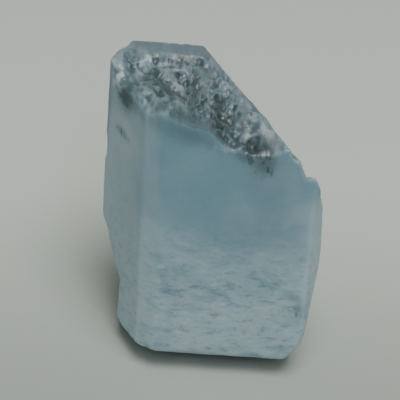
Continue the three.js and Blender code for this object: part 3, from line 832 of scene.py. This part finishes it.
def mottled_material(name, colours, size, roughness, openness):
    """A material whose colour wanders between two colours, in patches of a size in millimetres."""
    material = new_material(name)
    place = add(material, "TexCoord", output="Object")
    patchy = add(material, "TexNoise", {"Vector": place, "Scale": 1 / (size * MM), "Detail": 2.0}, "Fac")
    share = add(material, "MapRange", (patchy, *MOTTLE_SPAN, 0, 1), **SOFT_STEP)
    first, second = ((*linear(colour), 1) for colour in colours)
    colour = add(
        material, "Mix", {"Factor": share, MIX_A: first, MIX_B: second}, MIX_COLOUR, data_type="RGBA")
    surface = add(material, "BsdfPrincipled", {
        "Base Color": colour, "Roughness": roughness, "IOR": SEALED_IOR, "Transmission Weight": openness})
    add(material, "OutputMaterial", {"Surface": surface})
    return material


def drops_material():
    """Flat drops of water: they bend light less than the stone, so they catch it as small pale glints."""
    return mottled_material("fluid_drops_in_healed_cracks", ("#eef4f5", "#b4c6cd"),
                            size=1.5, roughness=0.3, openness=0.1)


def flakes_material():
    """Dark sheets sealed where cracks reflect shade, below the ledge and under the break: painted shade,
    green-grey and matt, and never quite black.
    """
    return mottled_material("dark_flakes_of_painted_shade", ("#3f5556", "#7c918b"),
                            size=0.8, roughness=0.5, openness=0.0)


def tubes_material():
    """Hollow tubes left by growth: fine pale lines, silky where many lie side by side."""
    return mottled_material("hollow_growth_tubes", ("#e4ecee", "#a9bcc4"),
                            size=3, roughness=0.25, openness=0.3)


# ---------------------------------------------------------------- one operator for each piece


class CRYSTAL_OT_body(bpy.types.Operator):
    """Makes the crystal: the CAD solid refined, with growth lines, flutes and crumbs"""

    bl_idname = "crystal.body"
    bl_label = "Crystal"

    def execute(self, context):
        crystal = shape_crystal()
        crystal.data.materials.append(beryl_material(crystal.data))
        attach(crystal, BODY)
        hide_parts(NODE)
        return {"FINISHED"}


class CRYSTAL_OT_veils(bpy.types.Operator):
    """Makes the veils: flat drops left where cracks across the crystal healed"""

    bl_idname = "crystal.veils"
    bl_label = "Healed veils"

    def execute(self, context):
        rng = random.Random(VEIL_SEED)
        places = scattered(rng, settings().veil_drops, VEILS, VEIL_DEPTH)
        size = settings().drop_size / MM
        sizes = ((size, size * DROP_LONGEST), (size, size * DROP_WIDEST), DROP_THICKNESS)
        finish_sealed(add_grains("veils_of_drops", places, sizes, rng, DROP_TILT), drops_material())
        return {"FINISHED"}


class CRYSTAL_OT_flakes(bpy.types.Operator):
    """Makes the dark flakes, sealed sheets that paint shade below the ledge and under the top break"""

    bl_idname = "crystal.flakes"
    bl_label = "Dark flakes"

    def execute(self, context):
        rng = random.Random(FLAKE_SEED)
        places = scattered(rng, settings().flakes, FLAKES, FLAKE_DEPTH)
        finish_sealed(add_grains("dark_flakes", places, FLAKE_SIZES, rng, FLAKE_TILT), flakes_material())
        return {"FINISHED"}


class CRYSTAL_OT_tubes(bpy.types.Operator):
    """Makes the fine growth tubes, which run along the crystal"""

    bl_idname = "crystal.tubes"
    bl_label = "Growth tubes"

    def execute(self, context):
        rng = random.Random(TUBE_SEED)
        places = scattered(rng, settings().tubes, TUBES, TUBE_DEPTH)
        finish_sealed(add_grains("growth_tubes", places, TUBE_SIZES, rng, TUBE_TILT), tubes_material())
        return {"FINISHED"}


# ---------------------------------------------------------------- the stage


def floor_material():
    """Board with a flat coat of paint: no shine, and painted shade makes it a little dimmer towards the
    viewer.
    """
    material = new_material("matt_floor")
    place = add(material, "TexCoord", output="Object")
    back = add(material, "SeparateXYZ", {"Vector": place}, "Y")
    share = add(material, "MapRange", (back, *FLOOR_SPAN, *FLOOR_PAINTED_SHADE), **SOFT_STEP)
    colour = add(material, "VectorMath", (stage_settings().floor_colour, share), operation="MULTIPLY")
    surface = add(material, "BsdfPrincipled", {"Base Color": colour, "Roughness": FLOOR_ROUGHNESS})
    add(material, "OutputMaterial", {"Surface": surface})
    return material


def add_floor():
    """Plain floor, wide enough for every view."""
    disc = bmesh.new()
    bmesh.ops.create_circle(disc, cap_ends=True, radius=FLOOR_RADIUS, segments=FLOOR_SIDES)
    mesh = bpy.data.meshes.new("floor")
    disc.to_mesh(mesh)
    disc.free()
    mesh.materials.append(floor_material())
    linked("floor", mesh)


def add_area_light(name, place, size, power, colour):
    """A round soft light that is aimed at the lower half of the crystal."""
    lamp = bpy.data.lights.new(name, "AREA")
    lamp.shape = "DISK"
    lamp.size = size
    lamp.energy = power
    lamp.color = linear(colour)
    light = linked(name, lamp)
    light.location = place
    light.rotation_euler = (LIGHT_AIM - place).to_track_quat("-Z", "Y").to_euler()


def add_world():
    """Even light from all round."""
    world = bpy.data.worlds.new("even_room_light")
    world.use_nodes = True
    sky = world.node_tree.nodes["Background"]
    sky.inputs["Color"].default_value = (*linear("#e9ece6"), 1)
    sky.inputs["Strength"].default_value = stage_settings().fill_strength
    bpy.context.scene.world = world


def add_camera():
    """A camera in front of the crystal, looking down at it."""
    chosen = stage_settings()
    elevation, roll = chosen.camera_elevation, chosen.camera_roll
    back = Vector((0, -math.cos(elevation), math.sin(elevation)))
    level = Vector((1, 0, 0))
    upright = back.cross(level)
    right = level * math.cos(roll) + upright * math.sin(roll)
    up = upright * math.cos(roll) - level * math.sin(roll)
    lens = bpy.data.cameras.new("camera")
    lens.lens, lens.sensor_width, lens.clip_start = LENS, SENSOR, NEAREST
    camera = linked("camera", lens)
    turn = Matrix((right, up, back)).transposed().to_4x4()
    camera.matrix_world = Matrix.Translation(CAMERA_AIM + back * chosen.camera_distance) @ turn
    bpy.context.scene.camera = camera


class CRYSTAL_OT_stage(bpy.types.Operator):
    """Makes the floor, the light and the camera"""

    bl_idname = "crystal.stage"
    bl_label = "Stage"

    def execute(self, context):
        chosen = stage_settings()
        add_floor()
        add_area_light("window", WINDOW_PLACE, WINDOW_SIZE, chosen.key_power, "#fdfbf8")
        add_area_light("broad_front", FRONT_PLACE, FRONT_SIZE, chosen.front_power, "#f4f8fd")
        add_world()
        add_camera()
        return {"FINISHED"}


class CRYSTAL_PT_panel(bpy.types.Panel):
    """Lists the pieces of the crystal and their settings"""

    bl_idname = "CRYSTAL_PT_panel"
    bl_label = "Aquamarine Crystal"
    bl_space_type = "VIEW_3D"
    bl_region_type = "UI"
    bl_category = "Crystal"

    def draw(self, context):
        for group in (context.scene.aquamarine_crystal, context.scene.aquamarine_stage):
            box = self.layout.box()
            for name in group.__annotations__:
                box.prop(group, name)
        for operator in OPERATORS:
            self.layout.operator(operator.bl_idname)


OPERATORS = (CRYSTAL_OT_body, CRYSTAL_OT_veils, CRYSTAL_OT_flakes, CRYSTAL_OT_tubes, CRYSTAL_OT_stage)
CLASSES = (CrystalSettings, StageSettings, *OPERATORS, CRYSTAL_PT_panel)


def register():
    for each in CLASSES:
        bpy.utils.register_class(each)
    bpy.types.Scene.aquamarine_crystal = PointerProperty(type=CrystalSettings)
    bpy.types.Scene.aquamarine_stage = PointerProperty(type=StageSettings)


def unregister():
    del bpy.types.Scene.aquamarine_stage
    del bpy.types.Scene.aquamarine_crystal
    for each in reversed(CLASSES):
        bpy.utils.unregister_class(each)


def main():
    register()
    bpy.ops.crystal.body()
    bpy.ops.crystal.veils()
    bpy.ops.crystal.flakes()
    bpy.ops.crystal.tubes()
    bpy.ops.crystal.stage()


if __name__ == "__main__":
    main()
